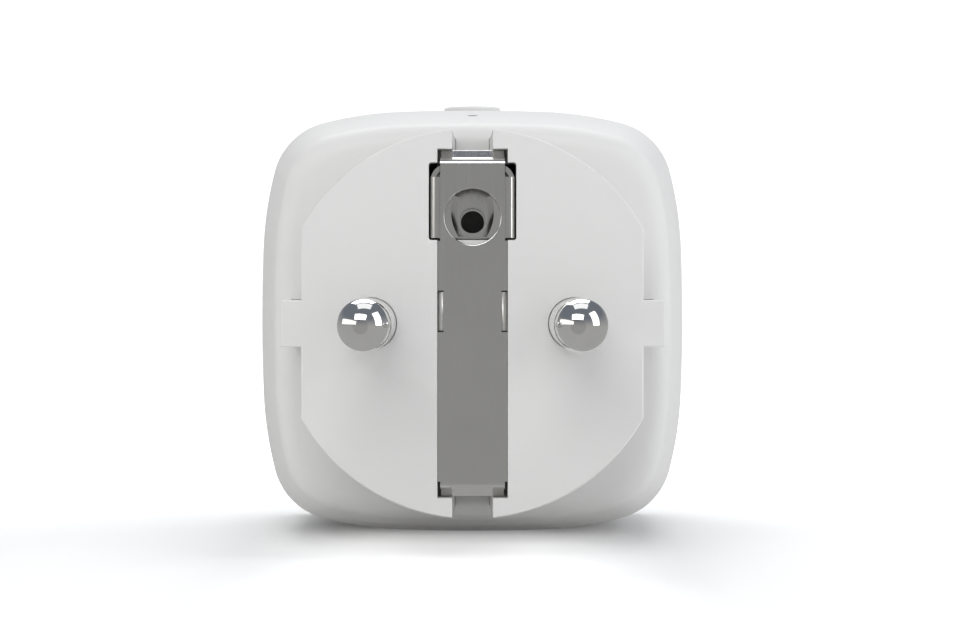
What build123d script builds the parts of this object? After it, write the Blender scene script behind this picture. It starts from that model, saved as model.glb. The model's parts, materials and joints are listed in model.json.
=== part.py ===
from build123d import *
import math
import os

# Plug-in power meter: two pins at the back, a socket at the front.
# Millimetres. X right, Z up, +Y from the plug face into the body; the pins point along -Y.
# The origin is the middle of the plug face, halfway between the pins.

# ---------------------------------------------------------------- plug side
PIN_RADIUS = 2.4
PIN_LENGTH = 19.0
PIN_X = 9.5
SHANK_RADIUS = 2.2
TAIL_RADIUS = 1.5
PIN_COLLAR_RADIUS = 3.3
PIN_RECESS_RADIUS = 2.45
PIN_RECESS_DEPTH = 0.3

BOSS_RADIUS = 18.3
BOSS_FLAT_X = 16.0
BOSS_DEPTH = 17.5
RIB_X = 18.0
RIB_HALF_WIDTH = 2.2
EDGE_BREAK = 0.12
FACE_THICKNESS = 2.6
NOTCH_HALF_FACE = 1.93
NOTCH_HALF_BASE = 1.70
NOTCH_FLOOR_Z = 16.35
TONGUE_GAP = 0.05

# earth strip: recessed in a channel, with a leg at each end that runs back into the body
CHANNEL_HALF_WIDTH = 3.3
STRIP_HALF_WIDTH = 3.26
STRIP_NARROW_HALF = 3.03
STRIP_RECESS = 0.4
STRIP_THICKNESS = 0.6
STRIP_SHELF_Z = 15.27
RAMP_START_Y = 1.75
RAMP_END_Y = 2.2
STRIP_BENDS = [-0.18, 0.4, 0.35]
LEG_Z = 15.98
LEG_HALF_WIDTH = 2.95
LEG_END_Y = 25.2
EARTH_HOLE_RADIUS = 2.62
EARTH_HOLE_Z = 10.0
HOLE_ROUND = 0.1
TAB_BAND_Z = (-0.68, 2.95)
TAB_RELIEF_Z = (-0.8, 3.07)
TAB_END_Y = 3.4

# pocket in the boss and the contact that grips an earth pin in it
POCKET_HALF_WIDTH = 4.1
POCKET_BOTTOM_Z = 7.8
POCKET_TOP_Z = 15.06
POCKET_CORNER_RADIUS = 0.25
POCKET_DEPTH = 14.9
CONTACT_SHEET = 0.45
CONTACT_HALF_WIDTH = 3.95
CONTACT_TOP_Z = 15.0
CONTACT_BOTTOM_Z = 8.0
FLAP_TOP_Z = 13.7
FLAP_Y = 1.1
HEM_Y = 0.05
HEM_ROUND = 0.55
HEM_INNER_X = 3.12
CONTACT_END_Y = 14.6
STOP_PLATE_Y = (6.2, 7.6)
STOP_HOLE_RADIUS = (1.22, 1.12)
STOP_HOLE_Z = (9.78, 9.62)

# ---------------------------------------------------------------- body
BODY_HALF = 22.25
BODY_WIDEST_Y = 38.0
SIDE_BOW = 153.6
REAR_EDGE_RADIUS = 2.0
REAR_EDGE_TURN = 76.1
REAR_EDGE_END_Y = BOSS_DEPTH + REAR_EDGE_RADIUS * (1 - math.cos(math.radians(REAR_EDGE_TURN)))
WALL = 1.5
REAR_WALL_END_Y = 19.3
SEAM_Y = 57.0
SEAM_GAP = 0.3
FRONT_Y = 60.0
FRONT_EDGE_RADIUS = 2.3

# outline of the body for a half size of 1: side arc, easing arc, corner arc, all tangent
SIDE_ARC_RADIUS = 9.693
SIDE_ARC_ANGLE = 1.986
EASE_ARC_RADIUS = 1.7326
EASE_ARC_ANGLE = 12.536

# ---------------------------------------------------------------- socket side
RECESS_RADIUS = 19.5
RECESS_DEPTH = 17.5
RECESS_FLAT_X = 16.5
RECESS_RIB_X = 18.4
RECESS_RIB_HALF = 2.4
FLOOR_THICKNESS = 2.0
WELL_RADIUS = 20.6
APERTURE_RADIUS = 2.7
SLOT_HALF_WIDTH = 2.1
SLOT_Z = (16.5, 18.9)

FLOOR_Y = FRONT_Y - RECESS_DEPTH
FLOOR_BACK_Y = FLOOR_Y - FLOOR_THICKNESS

# earth clips of the socket
CLIP_HALF_WIDTH = 1.7
CLIP_THICKNESS = 0.6
CLIP_TAIL_Z = 16.71
RIVET_Y = 22.8
RIVET_RADIUS = 0.9

# shutter
SHUTTER_BACK_Y = 38.1
SHUTTER_FRONT_Y = 40.3
SHUTTER_HALF_X = 13.0
SHUTTER_HALF_Z = 3.3
GUIDE_GAP = 0.15
HOLDER_BACK_Y = 36.5
HOLDER_FRONT_Y = 37.8
SPRING_Y = 39.15
SPRING_RADIUS = 1.0
SPRING_WIRE_RADIUS = 0.15
SPRING_TURNS = 7
SPRING_TOP_Z = 12.6

# main board and what stands on it
BOARD_BACK_Y = 18.4
BOARD_FRONT_Y = 20.0
BOARD_RADIUS = 16.2
CAVITY_RADIUS = 16.6
CAVITY_HALF_X = 14.5
SCREW_X = 11.2
SCREW_Z = -8.6
CARRIER_HALF_X = 14.6
CARRIER_HALF_Z = 6.2

# places of the components on the main board
LEAD_HOLE_RADIUS = 0.4
WIDE_HOLE_RADIUS = 0.5
FILM_X = 7.3
FILM_LEADS_Z = (5.2, 12.2)
VARISTOR_Z = 6.5
VARISTOR_LEADS_X = (-11.4, -8.0)
RESISTOR_Z = 11.2
RESISTOR_LEADS_X = (-9.6, -7.3)
FUSE_Z = 3.4
FUSE_LEAD_X = 5.2
CAN_X = 6.9
CAN_Z = -11.9
CAN_RADIUS = 2.5
CAN_BASE_Y = BOARD_FRONT_Y + 0.9
CAN_HEIGHT = 11.0
MODULE_Z = 9.4
HEADER_PITCH = 2.5

# relay: cover, pins and the rounded yoke edge that the armature rocks on
RELAY_X = (-8.6, 8.6)
RELAY_Z = (-13.4, -4.4)
RELAY_BACK_Y = 3.6
RELAY_PIN_RADIUS = 0.45
CONTACT_Y = 12.0
YOKE_X = 2.0
YOKE_BACK_Y = 5.4
PIVOT_RADIUS = 0.25

# button and light
BUTTON_Y = 38.0
BUTTON_RADIUS = 3.0
BUTTON_HOLE_RADIUS = 3.15
BUTTON_TOP_Z = 22.7
LED_Y = 24.0
PIPE_RADIUS = 0.5
PIPE_HOLE_RADIUS = 0.55
BUTTON_BOARD_Z = 18.5
BUTTON_BOARD_THICKNESS = 0.6
SWITCH_TOP_Z = 20.0
PLUNGER_TOP_Z = 20.3


# ---------------------------------------------------------------- helpers
def across(y):
    """Plane across the body at depth y: sketches on it are drawn in (x, z)."""
    return Plane(origin=(0, y, 0), x_dir=(1, 0, 0), z_dir=(0, -1, 0))


def prism(sketch, y_start, y_end):
    """Solid of a sketch drawn in (x, z), between two depths."""
    return extrude(across(y_start) * sketch, amount=y_end - y_start, dir=(0, 1, 0))


def block(x, y, z):
    """Box from three (low, high) pairs."""
    middle = [(low + high) / 2 for low, high in (x, y, z)]
    size = [high - low for low, high in (x, y, z)]
    return Pos(*middle) * Box(*size)


def rod(radius, y_start, y_end, x=0, z=0):
    """Cylinder along Y."""
    return prism(Pos(x, z) * Circle(radius), y_start, y_end)


def post(radius, z_start, z_end, x=0, y=0):
    """Cylinder along Z."""
    return Pos(x, y, (z_start + z_end) / 2) * Cylinder(radius, z_end - z_start)


def mirrored_x(shape):
    """The shape and its mirror image across the plane x = 0."""
    return [shape, mirror(shape, about=Plane.YZ)]


def mirrored_z(shape):
    """The shape and its mirror image across the plane z = 0."""
    return [shape, mirror(shape, about=Plane.XY)]


def joined(shapes):
    """One solid from shapes that touch or overlap."""
    shapes = list(shapes)
    return shapes[0].fuse(*shapes[1:])


def group(shapes):
    """Separate solids kept together as one part."""
    solids = [solid for shape in shapes for solid in shape.solids()]
    return Compound(children=solids)


def polar(centre, radius, degrees):
    """Point at a radius and an angle from a centre, in (x, z)."""
    turn = math.radians(degrees)
    return (centre[0] + radius * math.cos(turn), centre[1] + radius * math.sin(turn))


def squircle(half):
    """Rounded-square outline with bowed sides, as tangent arcs."""
    side_r = half * SIDE_ARC_RADIUS
    ease_r = half * EASE_ARC_RADIUS
    turned = SIDE_ARC_ANGLE + EASE_ARC_ANGLE
    side_centre = (half - side_r, 0)
    side_end = polar(side_centre, side_r, SIDE_ARC_ANGLE)
    ease_centre = polar(side_end, -ease_r, SIDE_ARC_ANGLE)
    ease_end = polar(ease_centre, ease_r, turned)
    slope = math.cos(math.radians(turned)) - math.sin(math.radians(turned))
    corner_r = (ease_end[0] - ease_end[1]) / slope
    corner_centre = polar(ease_end, -corner_r, turned)
    arcs = []
    for quarter in range(4):
        start = 90 * quarter
        turn = Rot(0, 0, start)
        arcs.append(turn * CenterArc(side_centre, side_r, -SIDE_ARC_ANGLE, 2 * SIDE_ARC_ANGLE))
        arcs.append(turn * CenterArc(ease_centre, ease_r, SIDE_ARC_ANGLE, EASE_ARC_ANGLE))
        arcs.append(turn * CenterArc(corner_centre, corner_r, turned, 90 - 2 * turned))
        swapped = (ease_centre[1], ease_centre[0])
        arcs.append(turn * CenterArc(swapped, ease_r, 90 - turned, EASE_ARC_ANGLE))
    return make_face(Curve() + arcs)


def half_size(y):
    """Half size of the bowed body at a depth between the rear edge and the widest section."""
    return BODY_HALF - (BODY_WIDEST_Y - y) ** 2 / SIDE_BOW


def bent_sheet(path, bends, thickness, half_width):
    """Sheet metal: a (y, z) centre line with bend radii, given a thickness and a width along X."""
    left, left_radii = offset_side(path, bends, thickness / 2)
    right, right_radii = offset_side(path, bends, -thickness / 2)
    corners = left + right[::-1]
    radii = [0] + left_radii + [0, 0] + right_radii[::-1] + [0]
    outline = FilletPolyline(*corners, radius=radii, close=True)
    return extrude(Plane.YZ * make_face(outline), amount=half_width, both=True)


def offset_side(path, bends, distance):
    """Mitred offset of an open path to its left, with the radius of each bend on that side."""
    headings = [math.atan2(b[1] - a[1], b[0] - a[0]) for a, b in zip(path, path[1:])]
    points = [shifted(path[0], headings[0], distance)]
    radii = []
    for corner, before, after, radius in zip(path[1:-1], headings, headings[1:], bends):
        turn = after - before
        reach = distance / math.cos(turn / 2)
        points.append(shifted(corner, (before + after) / 2, reach))
        radii.append(max(0.0, radius - math.copysign(distance, turn * distance)))
    points.append(shifted(path[-1], headings[-1], distance))
    return points, radii


def shifted(point, heading, distance):
    """A point moved to the left of a heading."""
    return (point[0] - distance * math.sin(heading), point[1] + distance * math.cos(heading))


# ---------------------------------------------------------------- body
def lofted_body(inset, y_start):
    """Bowed block from a depth to the widest section, inset by a wall thickness."""
    depths = [y_start, 22, 25, 28, 31, 34.5, BODY_WIDEST_Y]
    return loft([across(depth) * squircle(half_size(depth) - inset) for depth in depths])


def rear_edge():
    """Rounded rear edge of the body, from the flat rear wall to the bowed sides."""
    sections = []
    for step in range(6):
        angle = math.radians(REAR_EDGE_TURN * step / 5)
        depth = BOSS_DEPTH + REAR_EDGE_RADIUS * (1 - math.cos(angle))
        short = math.sin(math.radians(REAR_EDGE_TURN)) - math.sin(angle)
        half = half_size(REAR_EDGE_END_Y) - REAR_EDGE_RADIUS * short
        sections.append(across(depth) * squircle(half))
    return loft(sections)


def boss_outline(grow=0.0):
    """Round boss with side flats and a guide rib on each flat."""
    round_part = Circle(BOSS_RADIUS + grow) & Rectangle(2 * (BOSS_FLAT_X + grow), 40)
    return round_part + Rectangle(2 * (RIB_X + grow), 2 * (RIB_HALF_WIDTH + grow))


def boss_hole():
    """Hole of the rear wall: the boss outline, less a tongue of the wall in each of its notches."""
    outline = boss_outline(TONGUE_GAP)
    low, high = NOTCH_FLOOR_Z + TONGUE_GAP, BOSS_RADIUS + 1
    for side in (-1, 1):
        tongue = Rectangle(2 * (NOTCH_HALF_BASE - TONGUE_GAP), high - low)
        outline -= Pos(0, side * (low + high) / 2) * tongue
    return outline


def cavity_outline(shrink=0.0):
    """Inside of the boss, leaving the guides of the earth strip's legs solid."""
    outline = Circle(CAVITY_RADIUS - shrink) & Rectangle(2 * (CAVITY_HALF_X - shrink), 40)
    for side in (-1, 1):
        outline -= Pos(0, side * 17.0) * Rectangle(2 * (4.6 + shrink), 6.0 + 2 * shrink)
    return outline


def rear_housing():
    outer = joined([
        rear_edge(),
        lofted_body(0, REAR_EDGE_END_Y),
        prism(squircle(BODY_HALF), BODY_WIDEST_Y, SEAM_Y),
    ])
    inner = joined([
        lofted_body(WALL, REAR_WALL_END_Y),
        prism(squircle(BODY_HALF - WALL), BODY_WIDEST_Y, SEAM_Y),
    ])
    shell = outer - inner
    shell -= prism(boss_hole(), BOSS_DEPTH - 1, REAR_WALL_END_Y + 1)
    shell -= post(BUTTON_HOLE_RADIUS, 15, 25, y=BUTTON_Y)
    shell -= post(PIPE_HOLE_RADIUS, 15, 25, y=LED_Y)
    shell -= block((-1.6, 1.6), (22.4, 25.6), (18.0, 20.1))
    rails = []
    for side in (-1, 1):
        for low_y, high_y in ((28.0, 30.0), (33.0, 35.0)):
            hanger = block((side * 5.6 - 0.8, side * 5.6 + 0.8), (low_y, high_y), (17.7, 21.2))
            hanger -= block((-5.2, 5.2), (low_y - 1, high_y + 1), (BUTTON_BOARD_Z - 0.02, 19.15))
            rails.append(hanger)
    shell = joined([shell] + rails)
    for sx in (-1, 1):
        for sz in (-1, 1):
            shell -= snap_window(sx, sz)
    return shell


def snap_window(sx, sz):
    """Blind pocket in the side wall that one snap hook of the front cover drops into."""
    return block(sorted((sx * 20.0, sx * 21.0)), (50.8, 52.8), sorted((sz * 7.9, sz * 12.1)))


def front_cover():
    face = prism(squircle(BODY_HALF), SEAM_Y + SEAM_GAP, FRONT_Y)
    front_edges = face.edges().filter_by(lambda edge: edge.center().Y > FRONT_Y - 0.01)
    face = fillet(front_edges, FRONT_EDGE_RADIUS)
    lip = prism(squircle(BODY_HALF - WALL - 0.1), 55.0, SEAM_Y + SEAM_GAP)
    lip -= prism(squircle(BODY_HALF - WALL - 1.0), 54.0, SEAM_Y + SEAM_GAP)
    well = rod(WELL_RADIUS, FLOOR_BACK_Y, SEAM_Y + SEAM_GAP)
    cover = joined([face, lip, well])
    recess = Circle(RECESS_RADIUS) & Rectangle(2 * RECESS_FLAT_X, 50)
    recess += Rectangle(2 * RECESS_RIB_X, 2 * RECESS_RIB_HALF)
    cover -= prism(recess, FLOOR_Y, FRONT_Y + 1)
    mouth = cover.edges().filter_by(
        lambda edge: edge.center().Y > FRONT_Y - 0.01 and edge.bounding_box().max.X < 19.9
    )
    cover = chamfer(mouth, 0.6)
    for side in (-1, 1):
        cover -= rod(APERTURE_RADIUS, FLOOR_BACK_Y - 1, FLOOR_Y + 1, x=side * PIN_X)
        slot = sorted((side * SLOT_Z[0], side * SLOT_Z[1]))
        cover -= block((-SLOT_HALF_WIDTH, SLOT_HALF_WIDTH), (FLOOR_BACK_Y - 1, FLOOR_Y + 1), slot)
    hooks = []
    for sx in (-1, 1):
        for sz in (-1, 1):
            z_band = sorted((sz * 8.1, sz * 11.9))
            arm = block(sorted((sx * 18.9, sx * 19.95)), (50.9, 57.4), z_band)
            hook = block(sorted((sx * 19.9, sx * 20.8)), (51.0, 52.6), z_band)
            hooks.append(joined([arm, hook]) - rod(WELL_RADIUS - 0.5, 50, 60))
    return joined([cover] + hooks)


# ---------------------------------------------------------------- plug side
def plug_base():
    boss = prism(boss_outline(), 0, REAR_WALL_END_Y)
    face_edges = boss.edges().filter_by(lambda edge: edge.center().Y < 0.01)
    boss = chamfer(face_edges, EDGE_BREAK)
    flange = prism(squircle(half_size(REAR_WALL_END_Y) - WALL - 0.15), REAR_WALL_END_Y, 20.8)
    base = joined([boss, flange])
    base -= prism(cavity_outline(), FACE_THICKNESS, 22)
    base = joined([base] + base_fittings())
    for side in (-1, 1):
        base -= rod(SHANK_RADIUS, -1, 12, x=side * PIN_X)
        base -= rod(PIN_RECESS_RADIUS, -1, PIN_RECESS_DEPTH, x=side * PIN_X)
        base -= rod(0.75, 10, 19, x=side * SCREW_X, z=SCREW_Z)
        base -= notch_cutter(side)
        base -= leg_slot(side)
    channel = Rectangle(2 * CHANNEL_HALF_WIDTH, 2 * NOTCH_FLOOR_Z)
    base -= prism(channel, -1, STRIP_RECESS + STRIP_THICKNESS)
    for cutter in mirrored_x(tab_slot()):
        base -= cutter
    pocket_height = POCKET_TOP_Z - POCKET_BOTTOM_Z
    pocket = RectangleRounded(2 * POCKET_HALF_WIDTH, pocket_height, POCKET_CORNER_RADIUS)
    pocket = Pos(0, (POCKET_TOP_Z + POCKET_BOTTOM_Z) / 2) * pocket
    base -= prism(pocket, -1, POCKET_DEPTH)
    return joined([base, hole_sill()])


def base_fittings():
    """Pin sleeves, the walls of the earth contact's pocket and the board posts, inside the boss."""
    fittings = []
    for side in (-1, 1):
        fittings.append(rod(PIN_COLLAR_RADIUS, FACE_THICKNESS, 6.0, x=side * PIN_X))
        fittings.append(rod(2.2, FACE_THICKNESS, BOARD_BACK_Y, x=side * SCREW_X, z=SCREW_Z))
    walls = block((-5.1, 5.1), (FACE_THICKNESS, POCKET_DEPTH + 0.8), (POCKET_BOTTOM_Z - 0.9, 15.2))
    fittings.append(walls)
    return fittings


def notch_cutter(side):
    """Notch through the boss rim, slightly narrower towards the body."""
    outline = Polyline(
        (-NOTCH_HALF_FACE, -0.01),
        (NOTCH_HALF_FACE, -0.01),
        (NOTCH_HALF_BASE, BOSS_DEPTH),
        (NOTCH_HALF_BASE, REAR_WALL_END_Y),
        (-NOTCH_HALF_BASE, REAR_WALL_END_Y),
        (-NOTCH_HALF_BASE, BOSS_DEPTH),
        close=True,
    )
    cutter = extrude(make_face(outline), amount=4)
    cutter = Pos(0, 0, NOTCH_FLOOR_Z) * cutter
    return cutter if side > 0 else mirror(cutter, about=Plane.XY)


def leg_slot(side):
    """Slot that a leg of the earth strip runs back in, with room for its bends at the front."""
    leg = block((-3.05, 3.05), (0.5, 22), (15.5, NOTCH_FLOOR_Z))
    bends = block((-CHANNEL_HALF_WIDTH, CHANNEL_HALF_WIDTH), (0, 3.9), (14.2, NOTCH_FLOOR_Z))
    cutter = joined([leg, bends])
    return cutter if side > 0 else mirror(cutter, about=Plane.XY)


def tab_slot():
    """Slot through the face plate for one side tab of the earth strip."""
    low, high = TAB_RELIEF_Z
    return block((2.6, CHANNEL_HALF_WIDTH + 0.02), (0.5, 4), (low - 0.1, high + 0.1))


def hole_sill():
    """Round-edged lip of plastic seen through the bottom of the earth hole."""
    lip = rod(EARTH_HOLE_RADIUS, 1.15, 2.4, z=EARTH_HOLE_Z)
    lip &= block((-3, 3), (1.1, 3), (7.0, 7.82))
    return joined([lip, block((-2.2, 2.2), (1.15, 2.6), (7.0, 7.6))])


def pin(side):
    """Solid pin with a domed end, a shank through the face plate, a collar and a solder tail."""
    barrel = rod(PIN_RADIUS, PIN_RADIUS - PIN_LENGTH, 0)
    tip = Pos(0, PIN_RADIUS - PIN_LENGTH, 0) * Sphere(PIN_RADIUS)
    shank = rod(SHANK_RADIUS, -0.5, 6.0)
    collar = rod(PIN_COLLAR_RADIUS - 0.1, 6.0, 7.4)
    tail = rod(TAIL_RADIUS, 7.0, BOARD_FRONT_Y + 0.6)
    return Pos(side * PIN_X, 0, 0) * joined([barrel, tip, shank, collar, tail])


def earth_strip():
    """One bent strip: flat front, a shelf and a ramp at each end, and two legs running back."""
    front = STRIP_RECESS + STRIP_THICKNESS / 2
    half = [
        (front, STRIP_SHELF_Z),
        (RAMP_START_Y, STRIP_SHELF_Z),
        (RAMP_END_Y, LEG_Z),
        (LEG_END_Y, LEG_Z),
    ]
    path = [(y, -z) for y, z in reversed(half)] + half
    bends = STRIP_BENDS + STRIP_BENDS[::-1]
    strip = bent_sheet(path, bends, STRIP_THICKNESS, STRIP_HALF_WIDTH)
    for side in (-1, 1):
        over = sorted((side * STRIP_NARROW_HALF, side * 5))
        strip -= block(over, (-1, 4), (POCKET_BOTTOM_Z - 0.1, 20))
        strip -= block(over, (-1, 4), (-20, -STRIP_SHELF_Z + 0.45))
        strip -= block(sorted((side * LEG_HALF_WIDTH, side * 5)), (1.3, 30), (-20, 20))
        strip -= block(sorted((side * 2.7, side * 5)), (-1, 2), TAB_RELIEF_Z)
        strip -= post(RIVET_RADIUS, -20, 20, y=RIVET_Y)
    strip -= rod(EARTH_HOLE_RADIUS, -1, 3, z=EARTH_HOLE_Z)
    rims = strip.edges().filter_by(GeomType.CIRCLE).filter_by(lambda edge: edge.radius == EARTH_HOLE_RADIUS)
    strip = fillet(rims.sort_by(Axis.Y)[0], HOLE_ROUND)
    return joined([strip] + mirrored_x(strip_tab()))


def strip_tab():
    """Side tab bent back out of the strip's edge, with a small relief gap above and below."""
    front, back = STRIP_RECESS, STRIP_RECESS + STRIP_THICKNESS
    inner_x = STRIP_HALF_WIDTH - STRIP_THICKNESS
    low, high = TAB_BAND_Z
    bend = Pos(inner_x, back, (low + high) / 2) * Cylinder(STRIP_THICKNESS, high - low)
    bend &= block((inner_x, STRIP_HALF_WIDTH), (front, back), TAB_BAND_Z)
    leg = block((inner_x + 0.1, STRIP_HALF_WIDTH), (back - 0.02, TAB_END_Y), TAB_BAND_Z)
    neck = block((2.5, inner_x + 0.04), (front, back), TAB_BAND_Z)
    return joined([bend, leg, neck])


def earth_pin_contact():
    """Female contact: an inverted U, hemmed front flaps, two grip leaves and two stop plates."""
    sheet, front = CONTACT_SHEET, FLAP_Y + 0.1
    width = 2 * CONTACT_HALF_WIDTH
    outer = Pos(0, CONTACT_TOP_Z - 4.0) * RectangleRounded(width, 8.0, 1.6)
    inner = Pos(0, CONTACT_TOP_Z - 4.0) * RectangleRounded(width - 2 * sheet, 8.0 - 2 * sheet, 1.15)
    band = prism(outer - inner, front, CONTACT_END_Y)
    band -= block((-5, 5), (0, 20), (6, CONTACT_BOTTOM_Z))
    band -= block((-5, 5), (0, 1.7), (FLAP_TOP_Z, 16))
    band -= block((-3.1, 3.1), (0, 3.6), (14, 16))
    middle_z = (CONTACT_BOTTOM_Z + FLAP_TOP_Z) / 2
    plate = Pos(0, middle_z) * Rectangle(width - 0.3, FLAP_TOP_Z - CONTACT_BOTTOM_Z)
    flaps = prism(plate - barrel_outline(0), FLAP_Y, FLAP_Y + sheet)
    stops = []
    for depth, radius, hole_z in zip(STOP_PLATE_Y, STOP_HOLE_RADIUS, STOP_HOLE_Z):
        stop = Pos(0, CONTACT_BOTTOM_Z + 3.1) * Rectangle(width - 0.5, 6.2)
        stops.append(prism(stop - Pos(0, hole_z) * Circle(radius), depth, depth + sheet))
    return joined([band, flaps] + mirrored_x(contact_hem()) + mirrored_x(grip_leaf()) + stops)


def contact_hem():
    """Folded outer edge of a front flap, rounded where the side wall turns into it."""
    hem = block((HEM_INNER_X, CONTACT_HALF_WIDTH), (HEM_Y, FLAP_Y + 0.2), (CONTACT_BOTTOM_Z, FLAP_TOP_Z))
    corner = hem.edges().filter_by(Axis.Z).group_by(Axis.Y)[0].sort_by(Axis.X)[-1]
    return fillet(corner, HEM_ROUND)


def grip_leaf():
    """Leaf that runs back from a flap's edge and closes in towards the stop plate."""
    start, end = FLAP_Y + 0.2, STOP_PLATE_Y[0] + 0.1
    outside = loft([across(start) * barrel_outline(0, 0.3), across(end) * barrel_outline(0.55, 0.3)])
    inside = loft([across(start) * barrel_outline(0), across(end) * barrel_outline(0.55)])
    return (outside - inside) & block((0.5, 3), (start, end), (8.3, 12.0))


def barrel_outline(shrink, grow=0.0):
    """Barrel-shaped opening: bowed sides between a flat top and a flat bottom."""
    waist = 2.0 - shrink + grow
    neck = 1.3 - shrink + grow
    low, middle, high = 8.1, 10.1, 12.9
    right = ThreePointArc((neck, low), (waist, middle), (neck, high))
    left = ThreePointArc((-neck, high), (-waist, middle), (-neck, low))
    top = Line((neck, high), (-neck, high))
    bottom = Line((-neck, low), (neck, low))
    return make_face(Curve() + [right, top, left, bottom])


def earth_rivets():
    """Rivets that hold the socket's earth clips on the strip's legs."""
    leg_low, leg_top = LEG_Z - STRIP_THICKNESS / 2, LEG_Z + STRIP_THICKNESS / 2
    clip_top = CLIP_TAIL_Z + CLIP_THICKNESS / 2
    shank = post(RIVET_RADIUS - 0.02, leg_low, clip_top + 0.1, y=RIVET_Y)
    inner_head = post(1.5, leg_low - 0.35, leg_low, y=RIVET_Y)
    spacer = post(1.35, leg_top, leg_top + 0.06, y=RIVET_Y)
    outer_head = post(1.4, clip_top + 0.07, clip_top + 0.35, y=RIVET_Y)
    return group(mirrored_z(joined([shank, inner_head, spacer, outer_head])))


# ---------------------------------------------------------------- socket side
def earth_clip(side):
    """Leaf spring: riveted tail, a rise, a straight run through the floor, a bulge and a lead-in tip."""
    path = [
        (20.9, CLIP_TAIL_Z),
        (25.6, CLIP_TAIL_Z),
        (28.6, 17.3),
        (43.6, 17.3),
        (49.0, 16.1),
        (52.0, 16.1),
        (56.6, 17.8),
    ]
    clip = bent_sheet(path, [1.0, 1.0, 1.6, 2.2, 2.2], CLIP_THICKNESS, CLIP_HALF_WIDTH)
    clip -= post(RIVET_RADIUS + 0.05, 15, 18, y=RIVET_Y)
    return clip if side > 0 else mirror(clip, about=Plane.XY)


def shutter():
    """Sliding bar that closes both apertures, with a ramp below each for the pins to push."""
    bar = block(
        (-SHUTTER_HALF_X, SHUTTER_HALF_X),
        (SHUTTER_BACK_Y, SHUTTER_FRONT_Y),
        (-SHUTTER_HALF_Z, SHUTTER_HALF_Z),
    )
    bar -= block((-5.2, 5.2), (SHUTTER_BACK_Y - 1, 41), (-4, -1.4))
    for side in (-1, 1):
        ramp = Polyline(
            (SHUTTER_FRONT_Y + 0.1, SHUTTER_HALF_Z - 1.0),
            (SHUTTER_FRONT_Y + 0.1, -SHUTTER_HALF_Z - 0.1),
            (SHUTTER_BACK_Y + 0.4, -SHUTTER_HALF_Z - 0.1),
            close=True,
        )
        wedge = extrude(Plane.YZ * make_face(ramp), amount=2.6, both=True)
        bar -= Pos(side * PIN_X, 0, 0) * wedge
    peg = post(0.65, SHUTTER_HALF_Z - 0.1, SHUTTER_HALF_Z + 1.4, y=SPRING_Y)
    return joined([bar, peg])


def spring_coil():
    """Round-wire compression spring standing on the shutter, up to the holder's stop."""
    bottom = SHUTTER_HALF_Z + SPRING_WIRE_RADIUS + 0.02
    height = SPRING_TOP_Z - SPRING_WIRE_RADIUS - 0.02 - bottom
    line = Helix(pitch=height / SPRING_TURNS, height=height, radius=SPRING_RADIUS)
    start = Plane(origin=line @ 0, z_dir=line % 0)
    wire = sweep(start * Circle(SPRING_WIRE_RADIUS), path=line)
    return Pos(0, SPRING_Y, bottom) * wire


def shutter_holder():
    """Plate behind the shutter with side rails and a stop above the spring."""
    plate = block((-15.0, 15.0), (HOLDER_BACK_Y, HOLDER_FRONT_Y), (-8.2, 14.2))
    plate -= block((-20, 20), (HOLDER_BACK_Y - 1, 41), (10.2, 15)) - block((-4, 4), (30, 45), (10, 15))
    for side in (-1, 1):
        plate -= rod(APERTURE_RADIUS + 0.1, HOLDER_BACK_Y - 1, HOLDER_FRONT_Y + 1, x=side * PIN_X)
    rails = []
    for side in (-1, 1):
        inner_x = side * (SHUTTER_HALF_X + GUIDE_GAP)
        rails.append(block(sorted((inner_x, side * 15.0)), (37.7, 40.4), (-7.0, 10.2)))
    ledge = block((-15.0, 15.0), (37.7, 40.4), (-7.0, -SHUTTER_HALF_Z - GUIDE_GAP))
    stop = block((-4.0, 4.0), (37.7, 40.4), (SPRING_TOP_Z, 14.2))
    return joined([plate, ledge, stop] + rails)


def contact_carrier():
    """Moulded block with a chamber for each socket contact, standing on the main board."""
    block_outline = RectangleRounded(2 * CARRIER_HALF_X, 2 * CARRIER_HALF_Z, 1.0)
    carrier = prism(block_outline, BOARD_FRONT_Y + 0.9, HOLDER_BACK_Y)
    for side in (-1, 1):
        chamber = Pos(side * PIN_X, 0) * RectangleRounded(7.2, 9.6, 0.5)
        carrier -= prism(chamber, BOARD_FRONT_Y, HOLDER_BACK_Y - 1.2)
        carrier -= rod(APERTURE_RADIUS + 0.2, 30, 40, x=side * PIN_X)
    carrier -= block((-3.6, 3.6), (15, 34), (-4.4, 4.4))
    feet = [
        block((sx * 5.0 - 0.8, sx * 5.0 + 0.8), (BOARD_FRONT_Y, BOARD_FRONT_Y + 1.2), (-6.0, -4.4))
        for sx in (-1, 1)
    ]
    feet += [
        block((sx * 5.0 - 0.8, sx * 5.0 + 0.8), (BOARD_FRONT_Y, BOARD_FRONT_Y + 1.2), (4.4, 6.0))
        for sx in (-1, 1)
    ]
    return joined([carrier] + feet)


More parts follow.
